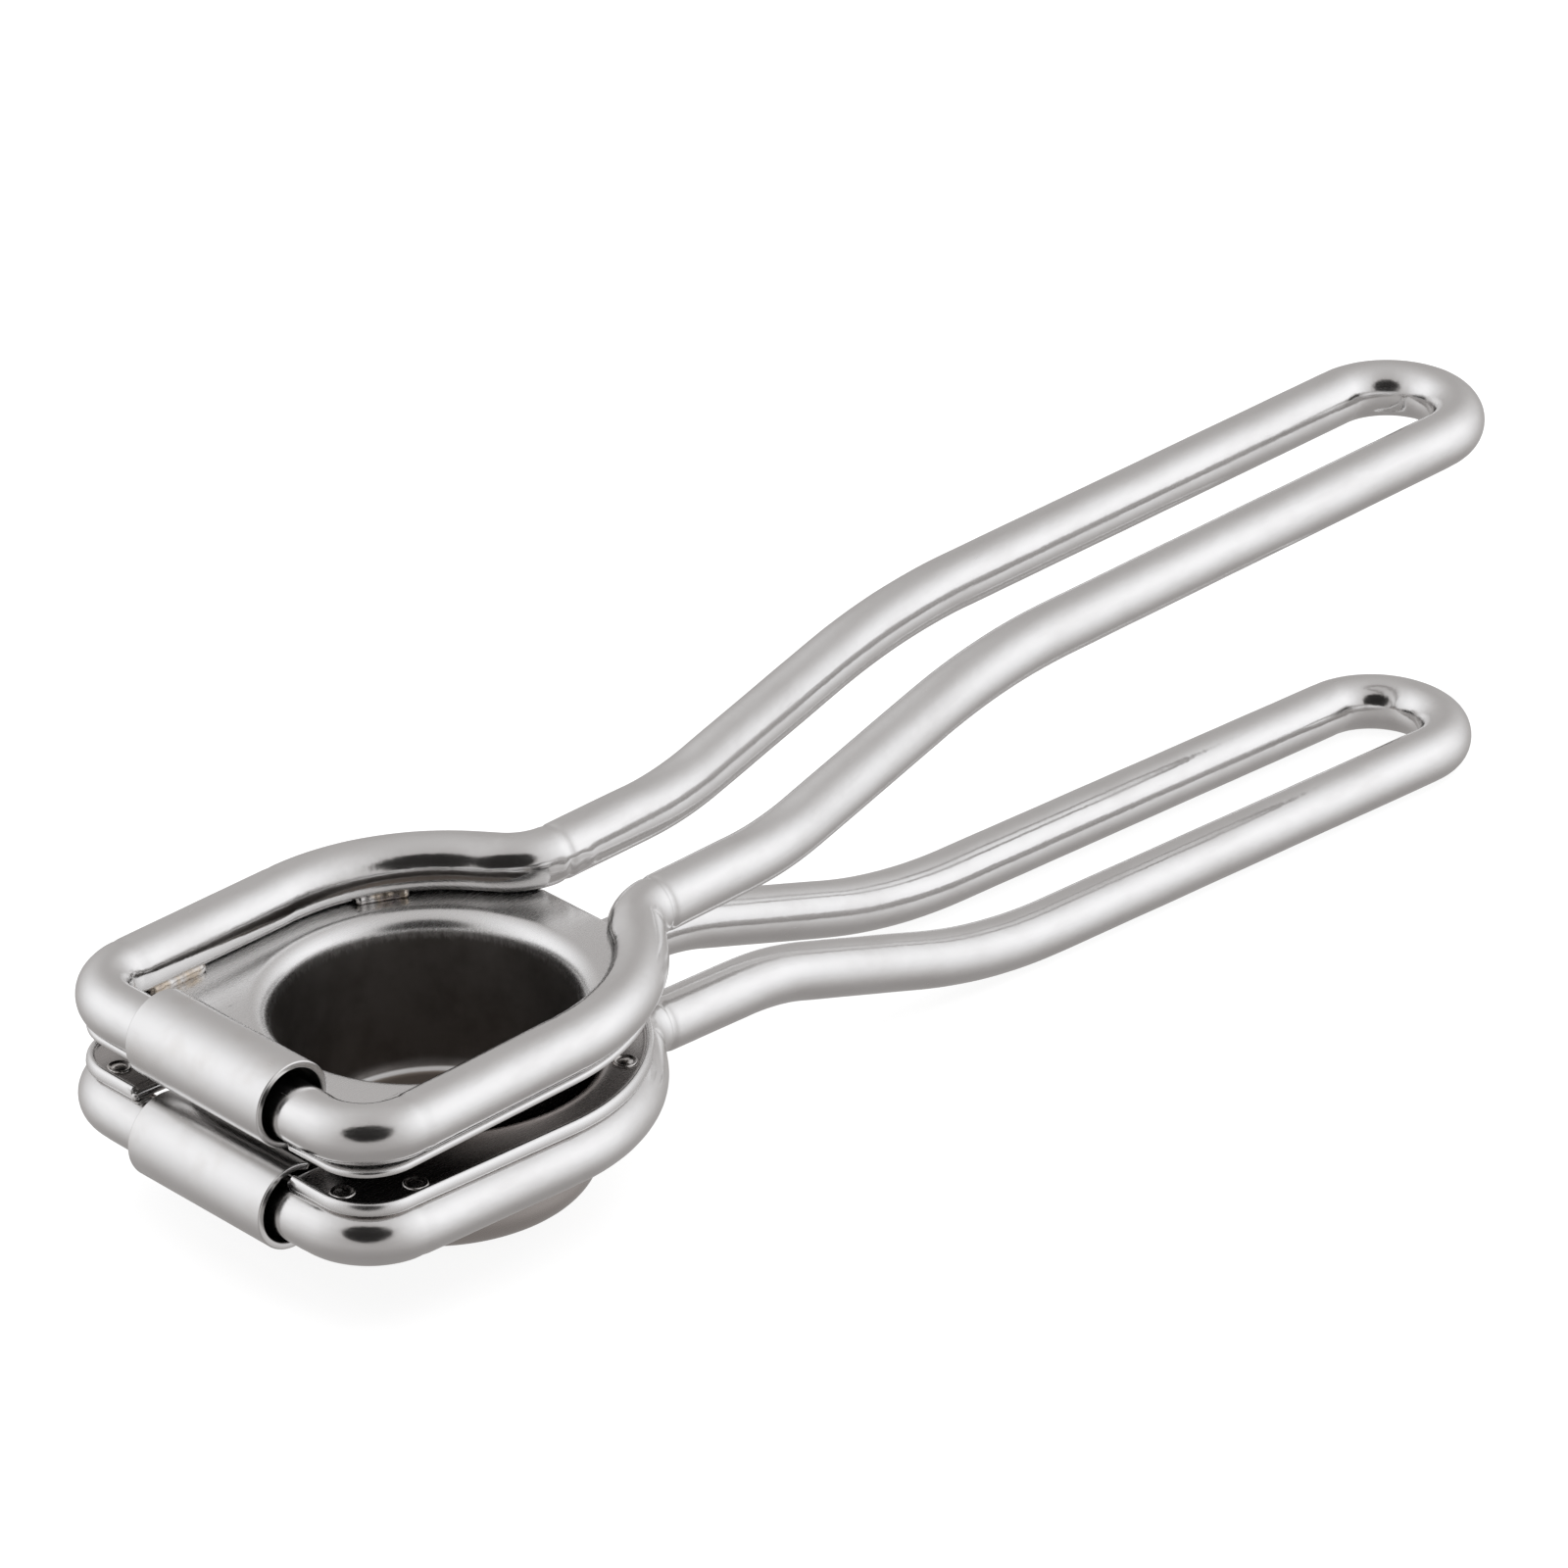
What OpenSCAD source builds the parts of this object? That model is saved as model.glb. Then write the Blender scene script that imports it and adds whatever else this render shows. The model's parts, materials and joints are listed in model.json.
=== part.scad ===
// Hinged citrus squeezer: two bent tube frames, a press cup, a strainer bowl
// and one rolled hinge link. Millimetres, +Y from the hinge to the handles,
// +Z up. The origin is on the table, below the middle of the object's length.

/* [Tube frames] */
// Outside diameter of the frame tube
tube_d = 8; // [7:0.5:8]
// Wall of the frame tube
tube_wall = 1; // [0.6:0.1:1.5]
// Length of a frame from the front bar's axis to the tube's axis at the handle's end
frame_len = 230; // [210:1:250]
// Half width of the head, to the tube's axis
head_w = 28; // [28:0.5:30]
// Half width of the handle, to the tube's axis
handle_w = 10; // [9:0.5:11]
// Bend radius of the two front corners, at the tube's axis
corner_r = 8; // [8:0.5:9.5]
// Straight length of the head's sides
side_len = 26.5; // [25:0.5:28]
// Bend radius of the head's shoulders
shoulder_r = 30; // [28:0.5:32]
// Bend radius of the neck
neck_r = 8.5; // [8:0.5:10]
// Where the handle starts to rise, measured from the front bar
rise_start = 88.4; // [85:0.1:91]
// Length of the handle's slope, from corner to corner
rise_len = 43; // [40:0.5:48]
// Bend radius where the rise starts
rise_bend_r = 42; // [28:7:49]
// Bend radius where the rise ends
level_bend_r = 91; // [63:7:98]

/* [Hinge] */
// Distance between the two front bars
bar_gap = 14.5; // [14:0.25:16]
// Angle between the two frames as the squeezer lies
rest_angle = 3.1; // [2:0.1:4]
// Width of the hinge link along the bars
link_w = 26; // [20:1:27]
// How far the link has slid along the bars
link_shift = 1.5; // [-1.5:0.5:1.5]
// Thickness of the link's sheet
link_t = 1; // [0.8:0.1:1.2]
// Inside radius of both barrels
barrel_r = 5; // [5:0.1:5.2]
// How far the lower barrel's centre lies above its bar
lower_barrel_lift = 0.3; // [0:0.1:0.4]
// How far the upper barrel's centre lies above its bar
upper_barrel_lift = 0.7; // [0.4:0.1:0.8]

/* [Plates] */
// Thickness of both pressed plates
sheet_t = 1; // [0.8:0.1:1]
// How far the plates reach past the tube's axis
plate_over = 2; // [1:0.5:3]
// Where the plates' front edge lies, measured from the front bar's axis
plate_front = -1.8; // [-2.5:0.1:-1]
// Radius of the plates' front corners
plate_corner_r = 8; // [6:0.5:9]
// Where the plates' back edge crosses the neck, measured from the front bar
plate_back = 64.5; // [63:0.5:65]
// Height of the bowl plate's upturned edge above its flange
lip_h = 0.8; // [0.4:0.1:1.2]
// Half width of the front notch that clears the hinge link
notch_w = 14.8; // [14.8:0.1:16]
// Depth of the notch, measured from the front bar's axis
notch_depth = 7; // [6.8:0.1:8]

/* [Press cup] */
// Distance of the cup's centre behind the front bar
cup_y = 35; // [34.5:0.1:35.5]
// Radius of the cup's mouth where it leaves the flange
cup_mouth_r = 23.3; // [22:0.1:23.5]
// Depth of the cup at the edge of its floor, below the flange
cup_depth = 21.8; // [18:0.1:22]
// Taper of the cup's wall
cup_taper = 9; // [8:0.5:12]
// Inside radius between the cup's wall and floor
cup_knuckle_r = 2.5; // [2:0.1:3]
// Slope of the cup's dished floor
cup_dish = 7; // [4:0.5:8]
// Radius of the flat middle of the cup's floor
cup_flat_r = 9; // [7:0.5:10]

/* [Strainer bowl] */
// Distance of the bowl's centre behind the front bar
bowl_y = 35.8; // [35.5:0.1:36]
// Radius of the bowl's mouth where it leaves the flange
bowl_mouth_r = 25.4; // [25:0.1:25.6]
// Taper of the bowl's wall
bowl_taper = 2; // [1:0.5:3]
// Inside radius between the bowl's wall and floor
bowl_knuckle_r = 4; // [3:0.1:5]
// Height of the knuckle's centre below the tube's axis
bowl_knuckle_z = 9.7; // [9:0.1:10]
// Slope of the bowl's dished floor
bowl_dish = 13; // [12:0.5:15]
// Diameter of the drain holes
drain_d = 3; // [2:0.5:3.5]
// Number of drain holes in the inner ring, with twice as many in the outer one
drain_count = 6; // [4:1:7]

/* [Welds] */
// Diameter of a spot weld between the bowl plate and its frame
spot_d = 3.4; // [2.5:0.1:3.8]
// Radius of the weld bead between the cup plate and its frame
bead_r = 1.1; // [0.8:0.1:1.2]
// Width of the butt weld that closes each frame
butt_w = 1.2; // [0.8:0.1:2]

/* [Hidden] */
$fn = 96;

tube_r = tube_d / 2;
bore_r = tube_r - tube_wall;
mouth_bend_r = 3;                        // draw radius of both mouths, on their upper side
spot_inset = 1.3;                        // the spot welds lie this far inside the tube's axis
butt_crown = 0.15;                       // how far a butt weld stands proud of the tube
arc_steps = 9;                           // straight steps in each bend of a drawn wall
rim_overlap = 0.5;                       // the drawn vessel reaches this far into its flange
lip_stop = 0.4;                          // the upturned edge ends this far from the notch and the neck
spot_crown = 0.35;                       // how far a spot weld stands proud of the flange

// The shoulders turn on a 3-4-5 triangle and the handles rise on a 7-24-25 one,
// so that every joint along a frame falls on a round number.
shoulder_angle = atan2(4, 3);
rise_angle = atan2(7, 24);

// Plan of a frame, right-hand half
shoulder_c = [head_w - shoulder_r, corner_r + side_len];
shoulder_end = shoulder_c + shoulder_r * [cos(shoulder_angle), sin(shoulder_angle)];
neck_turn_w = neck_r * (1 - cos(shoulder_angle));
neck_len = (shoulder_end.x - handle_w - neck_turn_w) / sin(shoulder_angle);
neck_start = shoulder_end + neck_len * [-sin(shoulder_angle), cos(shoulder_angle)];
neck_c = neck_start + neck_r * [cos(shoulder_angle), sin(shoulder_angle)];
loop_y = frame_len - handle_w;

// Side view of a handle
handle_rise = rise_len * sin(rise_angle);
rise_run = rise_len * cos(rise_angle);
rise_tangent = rise_bend_r * tan(rise_angle / 2);
level_tangent = level_bend_r * tan(rise_angle / 2);
slope_len = rise_len - rise_tangent - level_tangent;

// Heights above the table: the bowl's floor and the lower handle both rest on it
lower_z = handle_rise + tube_r;
upper_z = lower_z + bar_gap;

// The origin is below the middle of the whole object
front_reach = barrel_r + link_t;
back_reach = frame_len + tube_r;
mid_y = (back_reach - front_reach) / 2;

// Flange levels, measured from the tube's axis
bowl_flange_z = tube_r + sheet_t;
cup_flange_z = -tube_r;

// Start and end of a weld bead: in mm along a side, in degrees round a shoulder
side_bead = [1.5, 11.5];
shoulder_bead = [20, 36];

// ---- sheet metal profiles, in the plane of radius and height ----

// A ring segment from angle a0 to a1, between the radii r0 and r1
module ring_segment(r0, r1, a0, a1) {
    reach = 2 * r1;
    mid = (a0 + a1) / 2;
    intersection() {
        difference() {
            circle(r1);
            circle(r0);
        }
        polygon([[0, 0], reach * [cos(a0), sin(a0)], reach * [cos(mid), sin(mid)],
                 reach * [cos(a1), sin(a1)]]);
    }
}

// Points along an arc from angle a0 to a1
function arc(c, r, a0, a1) =
    [for (i = [0 : arc_steps]) let (a = a0 + (a1 - a0) * i / arc_steps) c + r * [cos(a), sin(a)]];

function reversed(list) = [for (i = [len(list) - 1 : -1 : 0]) list[i]];

// Profile of a drawn vessel under a flange whose upper side is at height top.
// knuckle is the centre of the bend between wall and floor.
module vessel_profile(mouth_r, top, taper, knuckle, knuckle_r, dish, flat_r) {
    t = sheet_t;
    mouth_c = [mouth_r, top - mouth_bend_r];
    floor_start = knuckle + knuckle_r * [sin(dish), -cos(dish)];
    floor_z = floor_start.y - (floor_start.x - flat_r) * tan(dish);
    inner = concat([[mouth_r + rim_overlap, top]],
                   arc(mouth_c, mouth_bend_r, 90, 180 - taper),
                   arc(knuckle, knuckle_r, -taper, dish - 90),
                   [[flat_r, floor_z], [0, floor_z]]);
    outer = concat([[mouth_r + rim_overlap, top - t]],
                   arc(mouth_c, mouth_bend_r - t, 90, 180 - taper),
                   arc(knuckle, knuckle_r + t, -taper, dish - 90),
                   [[flat_r + t * tan(dish / 2), floor_z - t], [0, floor_z - t]]);
    polygon(concat(inner, reversed(outer)));
}

// ---- plan of a plate ----

// Outline that reaches past the tube's axis by over, from front to back, without the notch
module plate_outline(over, front, back, corner) {
    edge_w = head_w + over;
    side_end = shoulder_c.y;
    translate([-edge_w, front + corner]) square([2 * edge_w, side_end - front - corner]);
    translate([-edge_w + corner, front]) square([2 * (edge_w - corner), corner]);
    for (side = [-1, 1]) translate([side * (edge_w - corner), front + corner]) circle(corner);
    intersection() {
        translate([shoulder_c.x, side_end]) circle(shoulder_r + over);
        translate([-shoulder_c.x, side_end]) circle(shoulder_r + over);
        translate([-edge_w, side_end - 1]) square([2 * edge_w, back - side_end + 1]);
    }
}

// The notch in the front edge, made wider and deeper by grow
module notch_plan(grow) {
    half = notch_w + grow;
    translate([-half, plate_front - 1]) square([2 * half, notch_depth + grow - plate_front + 1]);
}

module plate_plan() {
    difference() {
        plate_outline(plate_over, plate_front, plate_back, plate_corner_r);
        notch_plan(0);
    }
}

// The upturned edge of the bowl plate, which stops at the notch and at the neck
module lip_plan() {
    difference() {
        plate_outline(plate_over, plate_front, plate_back - lip_stop, plate_corner_r);
        plate_outline(plate_over - sheet_t, plate_front + sheet_t, plate_back, plate_corner_r - sheet_t);
        notch_plan(lip_stop);
    }
}

// ---- tube frame ----

// Places its children on the table frame's axes at a bar's height
module at_lower() {
    translate([0, -mid_y, lower_z]) children();
}

module at_upper() {
    translate([0, -mid_y, upper_z]) rotate([rest_angle, 0, 0]) children();
}

// Cross-section of the frame between two radii
module section(r0, r1) {
    difference() {
        circle(r1);
        if (r0 > 0) circle(r0);
    }
}

// A straight stretch along +Y
module run(r0, r1, len) {
    rotate([-90, 0, 0]) linear_extrude(len) section(r0, r1);
}

// A bend of radius bend_r about Z, from angle a0 to a1
module bend(r0, r1, bend_r, a0, a1) {
    reach = 200;
    mid = (a0 + a1) / 2;
    intersection() {
        rotate_extrude() translate([bend_r, 0]) section(r0, r1);
        linear_extrude(3 * r1, center = true)
            polygon([[0, 0], reach * [cos(a0), sin(a0)], reach * [cos(mid), sin(mid)],
                     reach * [cos(a1), sin(a1)]]);
    }
}

// The handle rail from the neck to the end loop, rising by handle_rise
module rail(r0, r1) {
    bend_start = rise_start - rise_tangent;
    bend_end = rise_start + rise_run + level_tangent;
    translate([handle_w, neck_c.y, 0]) run(r0, r1, bend_start - neck_c.y);
    translate([handle_w, bend_start, rise_bend_r])
        rotate([0, 90, 0]) bend(r0, r1, rise_bend_r, 0, rise_angle);
    translate([handle_w, rise_start, 0]) rotate([rise_angle, 0, 0])
        translate([0, rise_tangent, 0]) run(r0, r1, slope_len);
    translate([handle_w, bend_end, handle_rise - level_bend_r])
        rotate([0, -90, 0]) bend(r0, r1, level_bend_r, -rise_angle, 0);
    translate([handle_w, bend_end, handle_rise]) run(r0, r1, loop_y - bend_end);
}

// Right-hand half of a frame
module half_frame(r0, r1) {
    translate([butt_w / 2, 0, 0]) rotate([0, 0, -90]) run(r0, r1, head_w - corner_r - butt_w / 2);
    translate([head_w - corner_r, corner_r, 0]) bend(r0, r1, corner_r, -90, 0);
    translate([head_w, corner_r, 0]) run(r0, r1, side_len);
    translate(shoulder_c) bend(r0, r1, shoulder_r, 0, shoulder_angle);
    translate(shoulder_end) rotate([0, 0, shoulder_angle]) run(r0, r1, neck_len);
    translate(neck_c) bend(r0, r1, neck_r, 180, 180 + shoulder_angle);
    rail(r0, r1);
    translate([0, loop_y, handle_rise]) bend(r0, r1, handle_w, 0, 90);
}

module frame_tube() {
    for (side = [0, 1]) mirror([side, 0, 0]) half_frame(bore_r, tube_r);
}

// The frame as a solid rod, for cutting what lies against it
module frame_rod() {
    for (side = [0, 1]) mirror([side, 0, 0]) half_frame(0, tube_r);
}

module butt_weld() {
    translate([-butt_w / 2, 0, 0]) rotate([0, 90, 0]) difference() {
        cylinder(r = tube_r + butt_crown, h = butt_w);
        cylinder(r = bore_r, h = butt_w);
    }
}

// ---- lower body ----

module lower_frame_tube() {
    color("silver") at_lower() mirror([0, 0, 1]) frame_tube();
}

module lower_frame_butt_weld() {
    color("darkgray") at_lower() butt_weld();
}

// Repeats its children at each spot weld, both sides
module at_spots() {
    inner_corner_r = corner_r - spot_inset;
    inner_shoulder_r = shoulder_r - spot_inset;
    spots = [
        [head_w - corner_r + inner_corner_r * cos(-72), corner_r + inner_corner_r * sin(-72)],
        [head_w - spot_inset, corner_r + 2],
        shoulder_c + inner_shoulder_r * [cos(36), sin(36)],
    ];
    for (side = [-1, 1], spot = spots)
        translate([side * spot.x, spot.y, 0]) children();
}

module bowl_profile() {
    knuckle_top = bowl_flange_z - mouth_bend_r * (1 - sin(bowl_taper));
    wall_drop = knuckle_top + bowl_knuckle_z + bowl_knuckle_r * sin(bowl_taper);
    wall_end_r = bowl_mouth_r - mouth_bend_r * cos(bowl_taper) - wall_drop * tan(bowl_taper);
    knuckle = [wall_end_r - bowl_knuckle_r * cos(bowl_taper), -bowl_knuckle_z];
    cone_start_r = knuckle.x + bowl_knuckle_r * sin(bowl_dish);
    cone_start_z = knuckle.y - bowl_knuckle_r * cos(bowl_dish);
    cone_drop = lower_z - sheet_t + cone_start_z;
    flat_r = cone_start_r - cone_drop / tan(bowl_dish);
    vessel_profile(bowl_mouth_r, bowl_flange_z, bowl_taper, knuckle, bowl_knuckle_r,
                   bowl_dish, flat_r);
}

module drain_holes() {
    ring_r = 5;
    translate([0, 0, -lower_z - 1]) {
        cylinder(d = drain_d, h = sheet_t + 4);
        for (ring = [1, 2], i = [0 : ring * drain_count - 1])
            rotate([0, 0, 360 / (ring * drain_count) * i]) translate([ring * ring_r, 0, 0])
                cylinder(d = drain_d, h = sheet_t + 4);
    }
}

module bowl_plate() {
    color("lightgray") at_lower() difference() {
        union() {
            difference() {
                translate([0, 0, tube_r]) linear_extrude(sheet_t) plate_plan();
                translate([0, bowl_y, tube_r - 1]) cylinder(r = bowl_mouth_r, h = sheet_t + 2);
            }
            translate([0, 0, tube_r]) linear_extrude(sheet_t + lip_h) lip_plan();
            translate([0, bowl_y, 0]) rotate_extrude() bowl_profile();
        }
        translate([0, bowl_y, 0]) drain_holes();
        at_spots() cylinder(d = spot_d, h = 3 * tube_r);
    }
}

module bowl_plate_spot_welds() {
    color("darkgray") at_lower() difference() {
        at_spots() translate([0, 0, tube_r - 1]) cylinder(d = spot_d, h = sheet_t + 1 + spot_crown);
        frame_rod();
    }
}

// ---- upper body ----

module upper_frame_tube() {
    color("silver") at_upper() frame_tube();
}

module upper_frame_butt_weld() {
    color("darkgray") at_upper() butt_weld();
}

module cup_profile() {
    knuckle_z = cup_flange_z - cup_depth + cup_knuckle_r;
    wall_top_z = cup_flange_z - mouth_bend_r * (1 - sin(cup_taper));
    wall_drop = wall_top_z - knuckle_z + cup_knuckle_r * sin(cup_taper);
    wall_end_r = cup_mouth_r - mouth_bend_r * cos(cup_taper) - wall_drop * tan(cup_taper);
    knuckle = [wall_end_r - cup_knuckle_r * cos(cup_taper), knuckle_z];
    vessel_profile(cup_mouth_r, cup_flange_z, cup_taper, knuckle, cup_knuckle_r,
                   cup_dish, cup_flat_r);
}

module cup_plate() {
    color("lightgray") at_upper() {
        difference() {
            translate([0, 0, cup_flange_z - sheet_t]) linear_extrude(sheet_t) plate_plan();
            translate([0, cup_y, cup_flange_z - 2]) cylinder(r = cup_mouth_r, h = 4);
        }
        translate([0, cup_y, 0]) rotate_extrude() cup_profile();
    }
}

module cup_plate_weld_beads() {
    bead_in = 2.3;                       // distance of a bead's axis inside the tube's axis
    bead_z = cup_flange_z + 0.6;
    color("tan") at_upper() difference() {
        for (side = [0, 1]) mirror([side, 0, 0]) {
            translate([head_w - bead_in, corner_r + side_bead[0], bead_z])
                run(0, bead_r, side_bead[1] - side_bead[0]);
            translate([shoulder_c.x, shoulder_c.y, bead_z])
                bend(0, bead_r, shoulder_r - bead_in, shoulder_bead[0], shoulder_bead[1]);
        }
        frame_rod();
        translate([-head_w - 5, 0, cup_flange_z - 5]) cube([2 * head_w + 10, plate_back, 5]);
    }
}

// ---- hinge link ----

module link_profile() {
    outer = barrel_r + link_t;
    low = [0, lower_barrel_lift];
    high = [0, bar_gap + upper_barrel_lift];
    free_edge_low = 60;                  // where the sheet ends behind the top of the lower bar
    free_edge_high = 310;                // where it ends under the upper bar
    translate(low) {
        ring_segment(barrel_r, outer, free_edge_low, 180);
        for (a = [180, 270]) ring_segment(barrel_r, outer, a, a + 90);
    }
    translate(high) {
        for (a = [0, 90, 180]) ring_segment(barrel_r, outer, a, a + 90);
        ring_segment(barrel_r, outer, 270, free_edge_high);
    }
    translate([barrel_r, low.y]) square([link_t, high.y - low.y]);
}

module hinge_link() {
    color("gainsboro") at_lower() translate([link_shift - link_w / 2, 0, 0])
        rotate([90, 0, 90]) linear_extrude(link_w) link_profile();
}

lower_frame_tube();
lower_frame_butt_weld();
bowl_plate();
bowl_plate_spot_welds();
upper_frame_tube();
upper_frame_butt_weld();
cup_plate();
cup_plate_weld_beads();
hinge_link();
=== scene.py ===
# The looks of a hinged citrus squeezer: bent steel tubes, two pressed plates, a rolled
# hinge link and their welds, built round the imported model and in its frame.
# Shapes are worked out in millimetres on a frame's own axes (x to the right, y from the
# front bar to the handle, z up) and then placed in the row frame in metres.
import json
import math

import bmesh
import bpy
import numpy as np
from mathutils import Matrix, Vector, noise

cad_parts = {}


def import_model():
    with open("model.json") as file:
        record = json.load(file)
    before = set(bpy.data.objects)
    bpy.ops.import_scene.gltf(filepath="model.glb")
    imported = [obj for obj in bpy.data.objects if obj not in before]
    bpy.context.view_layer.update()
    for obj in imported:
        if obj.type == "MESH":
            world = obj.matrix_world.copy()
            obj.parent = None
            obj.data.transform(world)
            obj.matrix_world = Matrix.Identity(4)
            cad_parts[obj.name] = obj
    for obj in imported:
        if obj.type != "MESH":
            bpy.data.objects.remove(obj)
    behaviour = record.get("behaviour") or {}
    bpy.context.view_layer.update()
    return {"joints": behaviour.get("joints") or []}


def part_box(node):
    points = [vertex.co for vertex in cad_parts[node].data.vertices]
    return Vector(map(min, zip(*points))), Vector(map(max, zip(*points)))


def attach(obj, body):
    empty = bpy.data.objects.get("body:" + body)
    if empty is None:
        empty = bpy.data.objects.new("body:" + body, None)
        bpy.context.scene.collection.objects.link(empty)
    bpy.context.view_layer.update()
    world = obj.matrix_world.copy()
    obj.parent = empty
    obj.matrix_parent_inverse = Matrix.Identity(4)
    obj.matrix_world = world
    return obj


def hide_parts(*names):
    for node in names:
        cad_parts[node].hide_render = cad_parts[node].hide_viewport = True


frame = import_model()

MM = 0.001

# ---- dimensions, in millimetres ----

LOWER_BAR, UPPER_BAR = (Vector(joint["pos_m"]) for joint in frame["joints"])
TUBE_LOW, TUBE_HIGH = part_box("lower_frame_tube")
LINK_LOW, LINK_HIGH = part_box("hinge_link")

TUBE_R = (TUBE_HIGH.z - LOWER_BAR.z) / MM
HEAD_W = TUBE_HIGH.x / MM - TUBE_R                  # half width of the head, to the tube's axis
FRAME_LEN = (TUBE_HIGH.y - LOWER_BAR.y) / MM - TUBE_R
RISE = (LOWER_BAR.z - TUBE_LOW.z) / MM - TUBE_R     # from the head's plane to the handle's
BENCH = -LOWER_BAR.z / MM                           # what the bowl stands on, from the lower bar
REST_ANGLE = 3.1                                    # opening between the frames, in degrees

HANDLE_W = 10.0                                     # half width, to the tube's axis
CORNER_R = 8.0
SIDE_LEN = 26.5
SHOULDER_R = 30.0
NECK_R = 8.5
RISE_START = 88.4
RISE_BEND_R = 42.0
LEVEL_BEND_R = 91.0
SHOULDER_ANGLE = math.atan2(4, 3)
RISE_ANGLE = math.atan2(7, 24)

SHEET_T = 1.0
PLATE_OVER = 2.0                                    # from the tube's axis to a plate's side
PLATE_FRONT = -1.8
PLATE_CORNER_R = 8.0
PLATE_BACK = 64.5
NOTCH_W = 14.8
NOTCH_DEPTH = 7.0
NOTCH_FILLET = 1.0
TAB_FILLET = 0.8
MOUTH_BEND_R = 3.0

BARREL_R = 5.5                                      # to the middle of the link's sheet
LINK_FREE_LOW = 60.0                                # in degrees round the lower bar
LINK_FREE_HIGH = 310.0                              # in degrees round the upper bar
BARREL_LIFTS = (0.3, 0.7)                           # of the lower and upper barrel over their bars

RING_STEP = 0.9                                     # between two rings of a tube's points
RING_POINTS = 44


# ---- places ----

def place(bar, tilt=0.0, flip=1):
    """Matrix from a frame's own millimetres to the row frame. flip -1 turns the rise downwards."""
    turn = Matrix.Rotation(math.radians(tilt), 4, "X")
    scale = Matrix.Diagonal((MM, MM, MM * flip, 1))
    return Matrix.Translation(bar) @ turn @ scale


AT_LOWER = place(LOWER_BAR)
AT_LOWER_FRAME = place(LOWER_BAR, flip=-1)
AT_UPPER = place(UPPER_BAR, REST_ANGLE)


# ---- mesh making ----

def grid_faces(rows, columns, close_rows=False):
    """Quads between rows of points. Each row is closed on itself. close_rows also joins the
    last row to the first."""
    faces = []
    for i in range(rows if close_rows else rows - 1):
        a = i * columns
        b = (i + 1) % rows * columns
        for j in range(columns):
            k = (j + 1) % columns
            faces.append((a + j, a + k, b + k, b + j))
    return faces


def fan_faces(start, columns, centre, turn):
    """Triangles from one row to a single point. turn reverses the way they face."""
    faces = []
    for j in range(columns):
        k = (j + 1) % columns
        faces.append((start + j, start + k, centre) if turn else (start + k, start + j, centre))
    return faces


def add_rows(points, faces, rows):
    """Adds a strip of closed rows, capped at both ends, to growing points and faces."""
    start, columns = len(points), rows.shape[1]
    points += list(rows.reshape(-1, 3))
    faces += [tuple(start + v for v in face) for face in grid_faces(len(rows), columns)]
    last = start + (len(rows) - 1) * columns
    faces.append(tuple(start + j for j in reversed(range(columns))))
    faces.append(tuple(last + j for j in range(columns)))


SHARP_ANGLE = 40.0


def add_object(name, points, faces, at, attributes=(), sharp=SHARP_ANGLE):
    """A mesh object with its points placed in the row frame and its normals pointing outwards.
    sharp is the angle in degrees from which an edge is shaded as a crease."""
    mesh = bpy.data.meshes.new(name)
    placed = [at @ Vector(p) for p in points]
    mesh.from_pydata(placed, [], faces)
    for label, values in attributes:
        layer = mesh.attributes.new(label, "FLOAT_VECTOR", "POINT")
        layer.data.foreach_set("vector", np.asarray(values, np.float32).ravel())
    work = bmesh.new()
    work.from_mesh(mesh)
    bmesh.ops.recalc_face_normals(work, faces=work.faces)
    work.to_mesh(mesh)
    work.free()
    mesh.shade_smooth()
    mesh.set_sharp_from_angle(angle=math.radians(sharp))
    obj = bpy.data.objects.new(name, mesh)
    bpy.context.scene.collection.objects.link(obj)
    return obj


def finish_piece(obj, node, body, material):
    """Hands a piece to its body, hides the imported node it stands in for, and gives it its material.
    """
    obj.data.materials.clear()
    obj.data.materials.append(material)
    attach(obj, body)
    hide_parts(node)


def line(start, end, step=RING_STEP):
    """Points from start towards end, without the end."""
    start, end = np.array(start, float), np.array(end, float)
    count = max(1, round(np.linalg.norm(end - start) / step))
    return [start + (end - start) * i / count for i in range(count)]


def arc(centre, radius, a0, a1, plane="xy", step=RING_STEP):
    """Points on an arc from angle a0 towards a1 (radians), without the end."""
    count = max(2, round(abs(a1 - a0) * radius / step))
    across, along = {"xy": (0, 1), "yz": (1, 2)}[plane]
    points = []
    for i in range(count):
        angle = a0 + (a1 - a0) * i / count
        point = np.array(centre, float)
        point[across] += radius * math.cos(angle)
        point[along] += radius * math.sin(angle)
        points.append(point)
    return points


# ---- the frames ----

def neck_points():
    """Where the shoulder ends, where the neck's bend starts, and that bend's centre, in plan."""
    turn = np.array([math.cos(SHOULDER_ANGLE), math.sin(SHOULDER_ANGLE), 0])
    ahead = np.array([-turn[1], turn[0], 0])
    shoulder_c = np.array([HEAD_W - SHOULDER_R, CORNER_R + SIDE_LEN, 0])
    shoulder_end = shoulder_c + SHOULDER_R * turn
    neck_turn_w = NECK_R * (1 - turn[0])
    neck_start = shoulder_end + ahead * (shoulder_end[0] - HANDLE_W - neck_turn_w) / turn[1]
    return shoulder_c, shoulder_end, neck_start, neck_start + NECK_R * turn


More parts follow.
